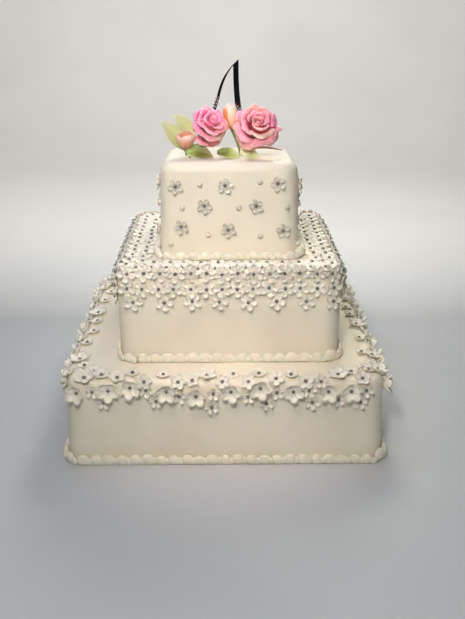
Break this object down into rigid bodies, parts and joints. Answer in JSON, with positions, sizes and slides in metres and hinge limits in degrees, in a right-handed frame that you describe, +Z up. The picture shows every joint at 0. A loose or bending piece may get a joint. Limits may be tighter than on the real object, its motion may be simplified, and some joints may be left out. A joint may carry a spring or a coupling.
{
  "type": "tiered wedding cake",
  "caption": "Square tiered wedding cake iced in ivory, with sugar blossoms, piped pearl borders, a rose spray and a pointed metal arch on top.",
  "frame": {"origin": "middle of the bottom tier's flat base", "axes": "+Z up, -Y towards the front where the spray faces, +X to the right seen from the front"},
  "size_m": [0.3698, 0.3698, 0.4208],
  "materials": {
    "icing": "smooth ivory fondant, matt with a soft sheen",
    "border_icing": "piped cream icing, satin",
    "sugar_blossom": "dry white sugar paste with a faint pink cast",
    "silver_bead": "small silvered sugar balls, dulled",
    "sugar_pearl": "pearly sugar balls",
    "pink_petal": "velvety petals, pink to salmon",
    "peach_petal": "velvety petals, peach with brown rims",
    "leaf": "soft leaves, olive to yellow-green",
    "stem": "green stems and cups",
    "twig": "thin reddish-brown twig",
    "polished_metal": "mirror-polished metal, dark where it mirrors a dark room",
    "clear_stone": "small cut clear stones"
  },
  "bodies": {
    "root": {"bottom_tier": "icing", "middle_tier": "icing", "top_tier": "icing", "bottom_border": "border_icing", "middle_border": "border_icing", "top_border": "border_icing", "rose_left": "pink_petal", "rose_right": "pink_petal", "bud_left": "peach_petal", "bud_middle": "peach_petal", "stem_rose_left": "stem", "stem_rose_right": "stem", "stem_bud_left": "stem", "stem_bud_middle": "stem", "twig": "twig", "leaf_back_low": "leaf", "leaf_back_high": "leaf", "leaf_front_left": "leaf", "leaf_front_middle": "leaf", "leaf_front_right": "leaf", "metal_arch": "polished_metal"}
  },
  "joints": []
}
